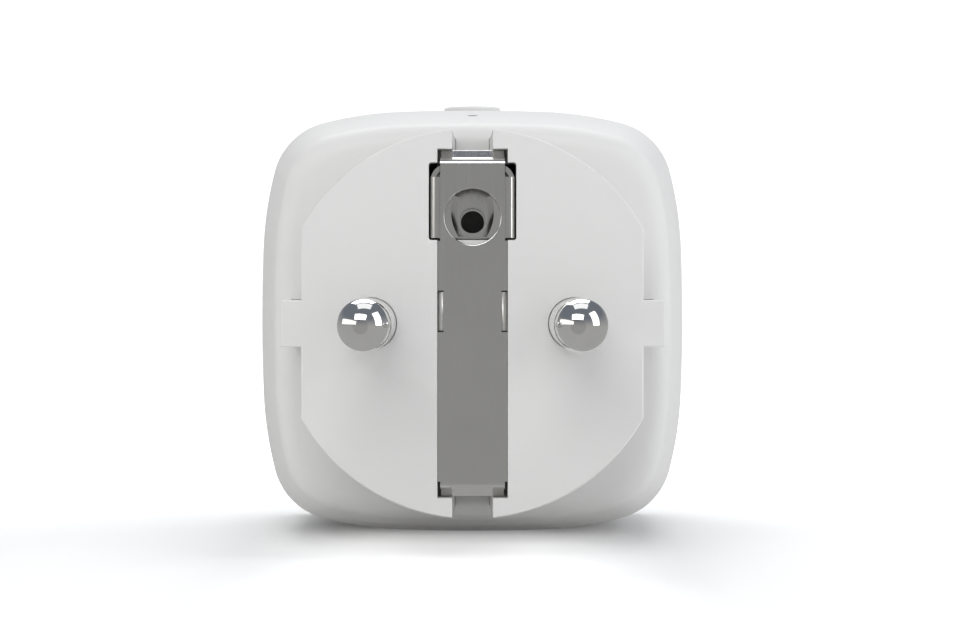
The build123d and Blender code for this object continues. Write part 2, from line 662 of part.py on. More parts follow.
def socket_contact(side):
    """Two leaves that grip a pin, joined by a bridge above the board, with two solder legs."""
    gap_half = 2.2
    leaf_path = [(22.4, 2.9), (26.0, 2.9), (31.4, gap_half + 0.3), (34.9, 3.3)]
    leaf = bent_sheet(leaf_path, [1.2, 2.5], 0.6, 2.6)
    bridge = block((-2.6, 2.6), (21.4, 22.0), (-2.0, 2.0))
    bend = bent_sheet([(21.7, 1.9), (21.7, 2.9), (22.5, 2.9)], [0.6], 0.6, 2.6)
    legs = [block((-3.1, -2.3), (BOARD_BACK_Y - 0.8, 21.9), (z - 0.5, z + 0.5)) for z in (-1.2, 1.2)]
    pieces = [bridge] + mirrored_z(leaf) + mirrored_z(bend) + legs
    contact = joined(pieces)
    if side > 0:
        contact = mirror(contact, about=Plane.YZ)
    return Pos(side * PIN_X, 0, 0) * contact


# ---------------------------------------------------------------- electronics
def main_board():
    board = prism(cavity_outline(CAVITY_RADIUS - BOARD_RADIUS), BOARD_BACK_Y, BOARD_FRONT_Y)
    for side in (-1, 1):
        board -= rod(TAIL_RADIUS + 0.1, 15, 22, x=side * PIN_X)
        board -= rod(1.1, 15, 22, x=side * SCREW_X, z=SCREW_Z)
        leg_x = sorted((side * (PIN_X + 2.25), side * (PIN_X + 3.15)))
        for z in (-1.2, 1.2):
            board -= block(leg_x, (15, 22), (z - 0.55, z + 0.55))
    for x, z in round_leads():
        board -= rod(LEAD_HOLE_RADIUS, 15, 22, x=x, z=z)
    for x, z in relay_pins():
        board -= rod(WIDE_HOLE_RADIUS, 15, 22, x=x, z=z)
    for x in header_places():
        board -= rod(WIDE_HOLE_RADIUS, 15, 22, x=x, z=MODULE_Z - 0.6)
    return board


def round_leads():
    """Every place where a component's round lead passes through the main board."""
    leads = [(FILM_X, z) for z in FILM_LEADS_Z]
    leads += [(x, VARISTOR_Z) for x in VARISTOR_LEADS_X]
    leads += [(x, RESISTOR_Z) for x in RESISTOR_LEADS_X]
    leads += [(side * FUSE_LEAD_X, FUSE_Z) for side in (-1, 1)]
    leads += [(side * can_x, CAN_Z) for side in (-1, 1) for can_x in (CAN_X - 1.0, CAN_X + 1.0)]
    return leads


def board_screws():
    """Two pan-head screws that hold the board on the posts of the plug base."""
    screws = []
    for side in (-1, 1):
        x = side * SCREW_X
        shank = rod(0.73, 13.0, BOARD_FRONT_Y, x=x, z=SCREW_Z)
        head = rod(1.9, BOARD_FRONT_Y, BOARD_FRONT_Y + 1.3, x=x, z=SCREW_Z)
        rim = head.edges().filter_by(GeomType.CIRCLE).sort_by(Axis.Y)[-1]
        head = fillet(rim, 0.5)
        head -= block((x - 1.3, x + 1.3), (20.6, 23), (SCREW_Z - 0.2, SCREW_Z + 0.2))
        head -= block((x - 0.2, x + 0.2), (20.6, 23), (SCREW_Z - 1.3, SCREW_Z + 1.3))
        screws.append(joined([shank, head]))
    return group(screws)


def relay_cover():
    x, z = RELAY_X, RELAY_Z
    cover = block(x, (RELAY_BACK_Y, 16.9), z)
    cover = fillet(cover.edges().filter_by(Axis.Y), 0.6)
    return cover - block((x[0] + 0.5, x[1] - 0.5), (RELAY_BACK_Y + 0.5, 18), (z[0] + 0.5, z[1] - 0.5))


def relay_base():
    x, z = RELAY_X, RELAY_Z
    plug = block((x[0] + 0.55, x[1] - 0.55), (15.9, 18.0), (z[0] + 0.55, z[1] - 0.55))
    base = joined([plug, block(x, (16.95, 18.0), z)])
    for pin_x, pin_z in relay_pins():
        base -= rod(RELAY_PIN_RADIUS, 15, 19, x=pin_x, z=pin_z)
    return base


def relay_pins():
    return [(-6.9, -12.0), (-6.9, -5.8), (6.9, -12.0), (6.9, -5.8)]


def relay_terminals():
    """Relay pins: two for the coil and two for the load, one of which carries the fixed contact."""
    pins = [rod(RELAY_PIN_RADIUS, 15.2, BOARD_FRONT_Y + 0.5, x=x, z=z) for x, z in relay_pins()]
    foot = block((4.35, 7.1), (15.2, 15.6), (-12.4, -10.8))
    blade = block((4.35, 4.7), (9.4, 15.6), (-12.4, -10.8))
    contact = Pos(4.1, CONTACT_Y, -11.5) * Rot(0, 90, 0) * Cylinder(0.65, 0.52)
    pins[2] = joined([pins[2], foot, blade, contact])
    return group(pins)


def relay_bobbin():
    """Coil former: a tube along Y between two flanges."""
    tube = rod(2.3, 6.2, 15.4, x=-2.6, z=-8.9) - rod(1.5, 5, 16, x=-2.6, z=-8.9)
    flanges = []
    for low in (6.2, 14.8):
        flange = block((-6.0, 0.8), (low, low + 0.6), (-12.4, -5.4))
        flanges.append(flange - rod(1.5, 5, 16, x=-2.6, z=-8.9))
    return joined([tube] + flanges)


def relay_coil():
    return rod(3.3, 6.85, 14.75, x=-2.6, z=-8.9) - rod(2.32, 6, 16, x=-2.6, z=-8.9)


def relay_core():
    """Iron core through the coil and the yoke that closes the circuit round it."""
    core = rod(1.45, 5.6, 15.9, x=-2.6, z=-8.9)
    yoke = block((1.2, YOKE_X), (YOKE_BACK_Y, 15.9), (-11.4, -6.4))
    pivot = yoke.edges().filter_by(Axis.Z).group_by(Axis.Y)[0].sort_by(Axis.X)[-1]
    yoke = fillet(pivot, PIVOT_RADIUS)
    foot = block((-3.4, 2.0), (15.45, 15.88), (-11.4, -6.4))
    return joined([core, yoke, foot])


def relay_armature():
    """Hinged plate over the core; its blade runs along the yoke and carries the moving contact."""
    plate = block((-5.4, 2.6), (4.5, 5.1), (-11.2, -6.6))
    arm = block((2.0, 2.6), (4.5, 6.4), (-11.2, -6.6))
    blade = block((2.6, 2.85), (4.7, CONTACT_Y + 0.8), (-12.2, -10.8))
    contact = Pos(3.07, CONTACT_Y, -11.5) * Rot(0, 90, 0) * Cylinder(0.6, 0.5)
    return joined([plate, arm, blade, contact])


def current_shunt():
    """Manganin strip with two copper ends lying on the front of the board."""
    bridge = bent_sheet(
        [(BOARD_FRONT_Y + 0.3, -13.6), (BOARD_FRONT_Y + 0.3, -12.2), (21.6, -11.6),
         (21.6, -9.0), (BOARD_FRONT_Y + 0.3, -8.4), (BOARD_FRONT_Y + 0.3, -7.2)],
        [0.5, 0.5, 0.5, 0.5], 0.5, 1.25)
    return Pos(-3.0, -0.05, 0) * bridge


def chip(x, y, z, size, legs, pitch):
    """Small outline chip lying on the front of the board, with gull-wing legs on two sides."""
    body_x, body_z, height = size
    body = block((x - body_x / 2, x + body_x / 2), (y + 0.15, y + height), (z - body_z / 2, z + body_z / 2))
    body = chamfer(body.edges().group_by(Axis.Y)[-1], 0.12)
    parts = [body]
    for index in range(legs):
        leg_z = z + (index - (legs - 1) / 2) * pitch
        for side in (-1, 1):
            tip = x + side * (body_x / 2 + 0.7)
            near = x + side * (body_x / 2 - 0.1)
            foot = block(sorted((near, tip)), (y, y + 0.2), (leg_z - 0.15, leg_z + 0.15))
            parts.append(foot)
    return joined(parts)


def metering_chip():
    return chip(1.6, BOARD_FRONT_Y, -9.6, (3.9, 5.0, 1.4), 4, 1.27)


def power_chips():
    """Converter and regulator beside the metering chip."""
    converter = chip(0.0, BOARD_FRONT_Y, 12.3, (3.0, 2.8, 1.2), 2, 1.27)
    regulator = chip(11.0, BOARD_FRONT_Y, 8.0, (1.6, 2.9, 1.0), 3, 0.95)
    return group([converter, regulator])


def bridge_rectifier():
    body = block((9.0, 12.4), (BOARD_BACK_Y - 2.4, BOARD_BACK_Y - 0.1), (5.1, 8.5))
    body = chamfer(body.edges().group_by(Axis.Y)[0], 0.3)
    legs = [
        block((x - 0.3, x + 0.3), (BOARD_BACK_Y - 0.4, BOARD_BACK_Y), z_band)
        for x in (9.7, 11.7)
        for z_band in ((8.4, 9.3), (4.3, 5.2))
    ]
    return joined([body] + legs)


def film_capacitor():
    body = block((5.9, 8.7), (6.6, BOARD_BACK_Y - 0.4), (4.2, 13.2))
    body = fillet(body.edges(), 0.3)
    legs = [rod(0.3, BOARD_BACK_Y - 0.6, BOARD_FRONT_Y + 0.5, x=FILM_X, z=z) for z in FILM_LEADS_Z]
    return joined([body] + legs)


def bulk_capacitors():
    """Two electrolytic cans standing on the front of the board, with a groove above the base."""
    cans = []
    for side in (-1, 1):
        x = side * CAN_X
        can = rod(CAN_RADIUS, CAN_BASE_Y, CAN_BASE_Y + CAN_HEIGHT, x=x, z=CAN_Z)
        can = fillet(can.edges().filter_by(GeomType.CIRCLE), 0.35)
        ring = rod(CAN_RADIUS + 1, CAN_BASE_Y + 1.4, CAN_BASE_Y + 1.9, x=x, z=CAN_Z)
        can -= ring - rod(CAN_RADIUS - 0.25, CAN_BASE_Y, CAN_BASE_Y + 3, x=x, z=CAN_Z)
        leads = [rod(0.25, BOARD_BACK_Y - 0.2, CAN_BASE_Y + 0.1, x=x + dx, z=CAN_Z) for dx in (-1, 1)]
        cans.append(joined([can] + leads))
    return group(cans)


def varistor():
    disc = Pos(-9.7, 13.0, VARISTOR_Z) * Cylinder(3.5, 3.4)
    disc = fillet(disc.edges().filter_by(GeomType.CIRCLE), 0.7)
    legs = [rod(0.35, 14.6, BOARD_FRONT_Y + 0.5, x=x, z=VARISTOR_Z) for x in VARISTOR_LEADS_X]
    return joined([disc] + legs)


def fusible_resistor():
    """Upright resistor: one lead straight down, the other bent over and down beside the body."""
    x_body, x_return = RESISTOR_LEADS_X
    body = rod(1.3, 8.9, 15.9, x=x_body, z=RESISTOR_Z)
    body = fillet(body.edges().filter_by(GeomType.CIRCLE), 0.5)
    lead = rod(0.3, 7.9, BOARD_FRONT_Y + 0.4, x=x_body, z=RESISTOR_Z)
    over = block((x_body, x_return), (7.6, 8.2), (RESISTOR_Z - 0.3, RESISTOR_Z + 0.3))
    down = rod(0.3, 7.9, BOARD_FRONT_Y + 0.4, x=x_return, z=RESISTOR_Z)
    return joined([body, lead, over, down])


def thermal_fuse():
    body = Pos(0, 8.2, FUSE_Z) * Rot(0, 90, 0) * Cylinder(1.5, 8.2)
    body = fillet(body.edges().filter_by(GeomType.CIRCLE), 0.4)
    wires = []
    for side in (-1, 1):
        wires.append(Pos(side * 4.6, 8.2, FUSE_Z) * Rot(0, 90, 0) * Cylinder(0.3, 1.6))
        wires.append(rod(0.3, 7.9, BOARD_FRONT_Y + 0.5, x=side * FUSE_LEAD_X, z=FUSE_Z))
    return joined([body] + wires)


def filter_inductor():
    """Drum core with its winding between two flanges, standing on the back of the board."""
    x, z = 0.0, -1.4
    ends = [rod(2.5, low, low + 0.8, x=x, z=z) for low in (11.4, BOARD_BACK_Y - 0.9)]
    winding = rod(2.1, 11.8, BOARD_BACK_Y - 0.5, x=x, z=z)
    return joined([winding] + ends)


def control_module():
    """Radio and processor board standing on the main board, edge on."""
    board = block((-9.0, 9.0), (BOARD_FRONT_Y + 0.1, 35.6), (MODULE_Z, MODULE_Z + 0.8))
    board -= block((2.6, 9.1), (33.4, 36), (MODULE_Z - 1, MODULE_Z + 2))
    for x in header_places():
        board -= post(WIDE_HOLE_RADIUS, MODULE_Z - 1, MODULE_Z + 2, x=x, y=21.5)
    return board


def header_places():
    return [(index - 2.5) * HEADER_PITCH for index in range(6)]


def module_shield():
    can = block((-7.6, 3.2), (22.6, 31.6), (MODULE_Z + 0.8, MODULE_Z + 2.6))
    can = fillet(can.edges().group_by(Axis.Z)[-1], 0.3)
    return can - block((-7.4, 3.0), (22.8, 31.4), (MODULE_Z + 0.7, MODULE_Z + 2.4))


def processor_chip():
    return block((-5.6, -0.6), (24.4, 29.4), (MODULE_Z + 0.8, MODULE_Z + 1.6))


def module_antenna():
    """Printed meander standing a little proud at the free end of the module."""
    strips = [block((-8.4, 2.0), (32.4, 32.7), (MODULE_Z + 0.8, MODULE_Z + 0.9))]
    for index in range(5):
        x = -8.4 + index * 2.4
        strips.append(block((x, x + 0.4), (32.4, 35.2), (MODULE_Z + 0.8, MODULE_Z + 0.9)))
    for index in (0, 2):
        x = -8.4 + index * 2.4
        strips.append(block((x, x + 2.8), (34.9, 35.2), (MODULE_Z + 0.8, MODULE_Z + 0.9)))
    return joined(strips)


def module_header():
    """Row of square pins between the main board and the module."""
    pins = []
    for x in header_places():
        out = block((x - 0.3, x + 0.3), (BOARD_BACK_Y - 0.3, 21.8), (MODULE_Z - 0.9, MODULE_Z - 0.3))
        up = block((x - 0.3, x + 0.3), (21.2, 21.8), (MODULE_Z - 0.9, MODULE_Z + 1.2))
        pins.append(joined([out, up]))
    return group(pins)


# ---------------------------------------------------------------- button, light
def button_board():
    wide = block((-5.0, 5.0), (27.0, 40.1), (BUTTON_BOARD_Z, BUTTON_BOARD_Z + BUTTON_BOARD_THICKNESS))
    narrow = block((-1.5, 1.5), (22.9, 27.1), (BUTTON_BOARD_Z, BUTTON_BOARD_Z + BUTTON_BOARD_THICKNESS))
    board = joined([wide, narrow])
    for index in range(3):
        board -= post(0.42, 18, 20, x=4.0, y=28.6 + 1.6 * index)
    return board


def button_link():
    """Three pins from the module up to the button board."""
    pins = [
        block((3.7, 4.3), (28.3 + 1.6 * index, 28.9 + 1.6 * index), (MODULE_Z + 0.8, 19.5))
        for index in range(3)
    ]
    return group(pins)


def switch_body():
    board_top = BUTTON_BOARD_Z + BUTTON_BOARD_THICKNESS
    body = block((-2.2, 2.2), (BUTTON_Y - 2.0, BUTTON_Y + 2.0), (board_top, SWITCH_TOP_Z))
    body = chamfer(body.edges().filter_by(Axis.Z), 0.3)
    return body - post(1.05, board_top + 0.2, 21, y=BUTTON_Y)


def switch_plunger():
    board_top = BUTTON_BOARD_Z + BUTTON_BOARD_THICKNESS
    return post(1.0, board_top + 0.55, PLUNGER_TOP_Z, y=BUTTON_Y)


def status_led():
    board_top = BUTTON_BOARD_Z + BUTTON_BOARD_THICKNESS
    return block((-0.8, 0.8), (LED_Y - 0.4, LED_Y + 0.4), (board_top, board_top + 0.4))


def light_pipe():
    top = half_size(LED_Y) - 0.02
    stem = post(PIPE_RADIUS, 19.7, top, y=LED_Y)
    foot = post(1.0, 19.6, 19.95, y=LED_Y)
    return joined([stem, foot])


def button_cap():
    cap = post(BUTTON_RADIUS, 21.0, BUTTON_TOP_Z, y=BUTTON_Y)
    rim = cap.edges().filter_by(GeomType.CIRCLE).sort_by(Axis.Z)[-1]
    cap = fillet(rim, 0.25)
    cap -= post(2.3, 20.5, 21.9, y=BUTTON_Y)
    stem = post(1.1, PLUNGER_TOP_Z + 0.02, 22.0, y=BUTTON_Y)
    lugs = [
        block(sorted((side * 2.4, side * 3.7)), (BUTTON_Y - 0.9, BUTTON_Y + 0.9), (20.25, 20.6))
        for side in (-1, 1)
    ]
    links = [
        block(sorted((side * 2.4, side * 2.95)), (BUTTON_Y - 0.9, BUTTON_Y + 0.9), (20.25, 21.2))
        for side in (-1, 1)
    ]
    return joined([cap, stem] + lugs + links)


# ---------------------------------------------------------------- export
def all_parts():
    return {
        "rear_housing": rear_housing(),
        "front_cover": front_cover(),
        "plug_base": plug_base(),
        "live_pin": pin(-1),
        "neutral_pin": pin(1),
        "earth_strip": earth_strip(),
        "earth_pin_contact": earth_pin_contact(),
        "earth_rivets": earth_rivets(),
        "upper_earth_clip": earth_clip(1),
        "lower_earth_clip": earth_clip(-1),
        "shutter": shutter(),
        "shutter_spring": spring_coil(),
        "shutter_holder": shutter_holder(),
        "contact_carrier": contact_carrier(),
        "live_contact": socket_contact(-1),
        "neutral_contact": socket_contact(1),
        "main_board": main_board(),
        "board_screws": board_screws(),
        "relay_cover": relay_cover(),
        "relay_base": relay_base(),
        "relay_terminals": relay_terminals(),
        "relay_bobbin": relay_bobbin(),
        "relay_coil": relay_coil(),
        "relay_core": relay_core(),
        "relay_armature": relay_armature(),
        "current_shunt": current_shunt(),
        "metering_chip": metering_chip(),
        "power_chips": power_chips(),
        "bridge_rectifier": bridge_rectifier(),
        "film_capacitor": film_capacitor(),
        "bulk_capacitors": bulk_capacitors(),
        "varistor": varistor(),
        "fusible_resistor": fusible_resistor(),
        "thermal_fuse": thermal_fuse(),
        "filter_inductor": filter_inductor(),
        "control_module": control_module(),
        "module_shield": module_shield(),
        "processor_chip": processor_chip(),
        "module_antenna": module_antenna(),
        "module_header": module_header(),
        "button_board": button_board(),
        "button_link": button_link(),
        "switch_body": switch_body(),
        "switch_plunger": switch_plunger(),
        "status_led": status_led(),
        "light_pipe": light_pipe(),
        "button_cap": button_cap(),
    }


os.makedirs("parts", exist_ok=True)
for name, shape in all_parts().items():
    export_step(shape, f"parts/{name}.step")
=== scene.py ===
"""Plug-in power meter: looks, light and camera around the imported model. Metres, Z up."""
import json
import math

import bmesh
import bpy
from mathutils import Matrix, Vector


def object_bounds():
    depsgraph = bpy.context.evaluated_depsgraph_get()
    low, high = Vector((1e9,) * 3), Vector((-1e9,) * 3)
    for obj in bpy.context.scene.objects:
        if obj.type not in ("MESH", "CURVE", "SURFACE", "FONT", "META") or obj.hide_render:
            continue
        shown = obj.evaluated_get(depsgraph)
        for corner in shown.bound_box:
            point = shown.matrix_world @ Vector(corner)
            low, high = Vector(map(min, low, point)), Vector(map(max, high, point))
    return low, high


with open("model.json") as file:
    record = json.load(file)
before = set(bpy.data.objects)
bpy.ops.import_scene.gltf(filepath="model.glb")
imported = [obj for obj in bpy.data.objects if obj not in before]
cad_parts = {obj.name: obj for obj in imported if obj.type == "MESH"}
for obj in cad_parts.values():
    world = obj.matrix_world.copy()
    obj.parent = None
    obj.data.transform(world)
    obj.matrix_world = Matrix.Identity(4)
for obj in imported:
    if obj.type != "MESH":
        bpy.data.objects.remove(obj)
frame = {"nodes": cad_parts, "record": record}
cad_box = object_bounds()

MM = 0.001

# ---------------------------------------------------------------- camera
SENSOR_WIDTH = 36.0
LENS = 105.525
CAMERA_X = -0.17 * MM
CAMERA_Y = -263.0 * MM
CAMERA_Z = 2.39 * MM
CAMERA_PITCH_DOWN = 0.45
CAMERA_YAW_RIGHT = 0.189

# ---------------------------------------------------------------- light
AIM = Vector((0.0, -0.005, 0.0))
# studio colour by height of the direction, from 0 straight down to 1 straight up
WORLD_LOW_STOP = 0.44
WORLD_HORIZON_STOP = 0.52
WORLD_HIGH_STOP = 0.72
WORLD_LOW = (0.40, 0.40, 0.395)
WORLD_HORIZON = (0.36, 0.36, 0.36)
WORLD_HIGH = (0.17, 0.185, 0.215)
# dimmer patch of the studio straight ahead of the plug side
DARK_TOWARDS = (-0.25, -0.96, -0.10)
DARK_INNER = 0.50
DARK_OUTER = 0.62
DARK_LEVEL = 0.82

# name, direction (x, y, z), distance, width, height, radiance, colour
# softboxes light the plastic and also show in the metal's reflections
SOFTBOXES = [
    ("overhead", (0.0, 0.0, 1.0), 0.55, 0.42, 0.30, 0.95, (1.0, 1.0, 0.985)),
    ("overhead_rear", (-0.06, 0.62, 0.85), 0.60, 0.46, 0.30, 3.4, (1.0, 1.0, 1.0)),
    ("front_high", (-0.24, -0.78, 0.58), 0.55, 0.46, 0.22, 3.2, (1.0, 1.0, 0.98)),
    ("right_tall", (0.83, -0.38, 0.40), 0.55, 0.32, 0.50, 1.8, (0.985, 0.99, 1.0)),
    ("left_low", (-0.93, -0.36, 0.20), 0.60, 0.86, 0.17, 1.15, (1.0, 0.96, 0.90)),
]
# fills brighten the plastic and stay out of the metal's reflections
FILLS = [
    ("overhead_fill", (0.0, 0.0, 1.0), 0.55, 0.60, 0.30, 1.85, (1.0, 1.0, 0.985)),
    ("front_fill", (0.0, -1.0, 0.13), 0.60, 0.60, 0.20, 0.15, (1.0, 1.0, 0.985)),
    ("right_fill", (1.0, 0.35, 0.15), 0.60, 0.30, 0.22, 3.5, (0.985, 0.985, 1.0)),
    ("left_fill", (-1.0, 0.35, 0.15), 0.60, 0.30, 0.22, 0.35, (1.0, 1.0, 0.985)),
]


def aim(thing, target):
    """Turns a light or camera so that its -Z looks at the target."""
    thing.rotation_mode = "QUATERNION"
    thing.rotation_quaternion = (Vector(target) - thing.location).to_track_quat("-Z", "Y")


def make_camera():
    data = bpy.data.cameras.new("camera")
    data.sensor_width = SENSOR_WIDTH
    data.lens = LENS
    data.clip_start = 0.01
    data.clip_end = 20.0
    camera = bpy.data.objects.new("camera", data)
    camera.location = (CAMERA_X, CAMERA_Y, CAMERA_Z)
    tilt = math.radians(90.0 - CAMERA_PITCH_DOWN)
    camera.rotation_euler = (tilt, 0.0, -math.radians(CAMERA_YAW_RIGHT))
    bpy.context.scene.collection.objects.link(camera)
    bpy.context.scene.camera = camera


def make_lights(boxes, in_reflections):
    for name, direction, distance, width, height, radiance, colour in boxes:
        data = bpy.data.lights.new(name, "AREA")
        data.shape = "RECTANGLE"
        data.size = width
        data.size_y = height
        data.color = colour
        data.energy = radiance * math.pi * width * height
        light = bpy.data.objects.new(name, data)
        light.location = AIM + Vector(direction).normalized() * distance
        light.visible_camera = False
        light.visible_glossy = in_reflections
        aim(light, AIM)
        bpy.context.scene.collection.objects.link(light)


def smooth_range(nodes, links, value, start, end, low, high):
    """Smooth step of a value from low at the start to high at the end."""
    node = nodes.new("ShaderNodeMapRange")
    node.interpolation_type = "SMOOTHSTEP"
    node.inputs["From Min"].default_value = start
    node.inputs["From Max"].default_value = end
    node.inputs["To Min"].default_value = low
    node.inputs["To Max"].default_value = high
    links.new(value, node.inputs["Value"])
    return node.outputs["Result"]


def make_world():
    """Dim studio round the object: grey below, lighter at the horizon, bluish and darker above."""
    world = bpy.data.worlds.new("studio")
    world.use_nodes = True
    nodes, links = world.node_tree.nodes, world.node_tree.links
    background = nodes["Background"]
    place = nodes.new("ShaderNodeTexCoord")
    split = nodes.new("ShaderNodeSeparateXYZ")
    links.new(place.outputs["Generated"], split.inputs[0])
    level = nodes.new("ShaderNodeMapRange")
    level.inputs["From Min"].default_value = -1.0
    level.inputs["From Max"].default_value = 1.0
    links.new(split.outputs["Z"], level.inputs["Value"])
    shade = nodes.new("ShaderNodeValToRGB")
    stops = shade.color_ramp.elements
    stops[0].position = WORLD_LOW_STOP
    stops[0].color = (*WORLD_LOW, 1.0)
    stops[1].position = WORLD_HIGH_STOP
    stops[1].color = (*WORLD_HIGH, 1.0)
    middle = stops.new(WORLD_HORIZON_STOP)
    middle.color = (*WORLD_HORIZON, 1.0)
    links.new(level.outputs["Result"], shade.inputs["Fac"])
    links.new(shade.outputs["Color"], background.inputs["Color"])
    away = nodes.new("ShaderNodeVectorMath")
    away.operation = "DISTANCE"
    away.inputs[1].default_value = DARK_TOWARDS
    links.new(place.outputs["Generated"], away.inputs[0])
    distance = away.outputs["Value"]
    strength = smooth_range(nodes, links, distance, DARK_INNER, DARK_OUTER, DARK_LEVEL, 1.0)
    links.new(strength, background.inputs["Strength"])
    bpy.context.scene.world = world


# ---------------------------------------------------------------- floor and backdrop
FLOOR_RADIUS = 0.9
FLOOR_TINT = (0.92, 0.92, 0.92, 1.0)
# the floor's own bounce comes from a greyer disc just under it, unseen by camera and reflections
BOUNCE_TINT = (0.86, 0.86, 0.85, 1.0)
BOUNCE_DROP = 0.02 * MM
# the floor glows up to pure white between these distances from the origin
GLOW_START = 0.05
GLOW_END = 0.16
# painted light: a soft glowing patch on the floor under and just in front of the body, standing in for
# bounced light and lightening its shadow, fading out towards its middle
PAINTED_LIGHT_STRENGTH = 0.47
PAINTED_LIGHT_GONE_Y = 0.0445
PAINTED_LIGHT_FULL_Y = 0.024
PAINTED_LIGHT_CENTRE_X = -0.0015
PAINTED_LIGHT_FULL_X = 0.006
PAINTED_LIGHT_GONE_X = 0.022
DISC_SEGMENTS = 96
BACKDROP_RADIUS = 6.0
BACKDROP_GLOW = 1.2


def disc_mesh(name, radius, height):
    """Flat disc centred on the Z axis."""
    shape = bmesh.new()
    bmesh.ops.create_circle(shape, cap_ends=True, radius=radius, segments=DISC_SEGMENTS)
    bmesh.ops.translate(shape, verts=shape.verts, vec=(0.0, 0.0, height))
    mesh = bpy.data.meshes.new(name)
    shape.to_mesh(mesh)
    shape.free()
    return mesh


def hide_from(thing, *rays):
    """Makes an object invisible to the named kinds of ray."""
    for ray in rays:
        setattr(thing, "visible_" + ray, False)


def make_floor():
    """Matt white table that fades into the white backdrop, with a painted pool of light glowing under
    the front of the body.
    """
    mesh = disc_mesh("floor", FLOOR_RADIUS, cad_box[0].z)
    floor = bpy.data.objects.new("floor", mesh)
    bpy.context.scene.collection.objects.link(floor)
    material = bpy.data.materials.new("floor_white")
    material.use_nodes = True
    nodes, links = material.node_tree.nodes, material.node_tree.links
    shader = nodes["Principled BSDF"]
    shader.inputs["Base Color"].default_value = FLOOR_TINT
    shader.inputs["Roughness"].default_value = 0.9
    shader.inputs["Specular IOR Level"].default_value = 0.0
    place = nodes.new("ShaderNodeTexCoord")
    length = nodes.new("ShaderNodeVectorMath")
    length.operation = "LENGTH"
    links.new(place.outputs["Object"], length.inputs[0])
    fade = smooth_range(nodes, links, length.outputs["Value"], GLOW_START, GLOW_END, 0.0, 1.0)
    split = nodes.new("ShaderNodeSeparateXYZ")
    links.new(place.outputs["Object"], split.inputs[0])
    # painted light: emission raised in a patch under the body's front, lightening the floor shadow there
    offset = nodes.new("ShaderNodeMath")
    offset.operation = "SUBTRACT"
    offset.inputs[1].default_value = PAINTED_LIGHT_CENTRE_X
    links.new(split.outputs["X"], offset.inputs[0])
    width = nodes.new("ShaderNodeMath")
    width.operation = "ABSOLUTE"
    links.new(offset.outputs[0], width.inputs[0])
    sides = smooth_range(nodes, links, width.outputs[0], PAINTED_LIGHT_FULL_X, PAINTED_LIGHT_GONE_X, 1.0, 0.0)
    front = smooth_range(nodes, links, split.outputs["Y"], PAINTED_LIGHT_FULL_Y, PAINTED_LIGHT_GONE_Y, 1.0, 0.0)
    painted_light = nodes.new("ShaderNodeMath")
    painted_light.operation = "MULTIPLY"
    links.new(sides, painted_light.inputs[0])
    links.new(front, painted_light.inputs[1])
    total = nodes.new("ShaderNodeMath")
    total.operation = "MULTIPLY_ADD"
    total.inputs[1].default_value = PAINTED_LIGHT_STRENGTH
    links.new(painted_light.outputs[0], total.inputs[0])
    links.new(fade, total.inputs[2])
    shader.inputs["Emission Color"].default_value = (1.0, 1.0, 1.0, 1.0)
    links.new(total.outputs[0], shader.inputs["Emission Strength"])
    mesh.materials.append(material)
    hide_from(floor, "diffuse", "glossy", "transmission", "shadow")


def make_bounce():
    """Grey disc under the floor: unseen, it sends shadowed light back to the underside."""
    mesh = disc_mesh("bounce", FLOOR_RADIUS, cad_box[0].z - BOUNCE_DROP)
    bounce = bpy.data.objects.new("bounce", mesh)
    bpy.context.scene.collection.objects.link(bounce)
    material = bpy.data.materials.new("bounce_grey")
    material.use_nodes = True
    shader = material.node_tree.nodes["Principled BSDF"]
    shader.inputs["Base Color"].default_value = BOUNCE_TINT
    shader.inputs["Roughness"].default_value = 1.0
    shader.inputs["Specular IOR Level"].default_value = 0.0
    mesh.materials.append(material)
    hide_from(bounce, "camera", "glossy", "transmission")


def make_backdrop():
    """White dome that only the camera sees."""
    shape = bmesh.new()
    bmesh.ops.create_icosphere(shape, subdivisions=3, radius=BACKDROP_RADIUS)
    mesh = bpy.data.meshes.new("backdrop")
    shape.to_mesh(mesh)
    shape.free()
    backdrop = bpy.data.objects.new("backdrop", mesh)
    bpy.context.scene.collection.objects.link(backdrop)
    material = bpy.data.materials.new("backdrop_white")
    material.use_nodes = True
    shader = material.node_tree.nodes["Principled BSDF"]
    shader.inputs["Base Color"].default_value = (0.0, 0.0, 0.0, 1.0)
    shader.inputs["Specular IOR Level"].default_value = 0.0
    shader.inputs["Emission Color"].default_value = (1.0, 1.0, 1.0, 1.0)
    shader.inputs["Emission Strength"].default_value = BACKDROP_GLOW
    mesh.materials.append(material)
    hide_from(backdrop, "diffuse", "glossy", "transmission", "shadow", "volume_scatter")


# ---------------------------------------------------------------- material helpers
# rolled grain runs this many times longer along the sheet than across it
GRAIN_STRETCH = 40


def scaled(colour, factor):
    return tuple(min(1.0, channel * factor) for channel in colour)


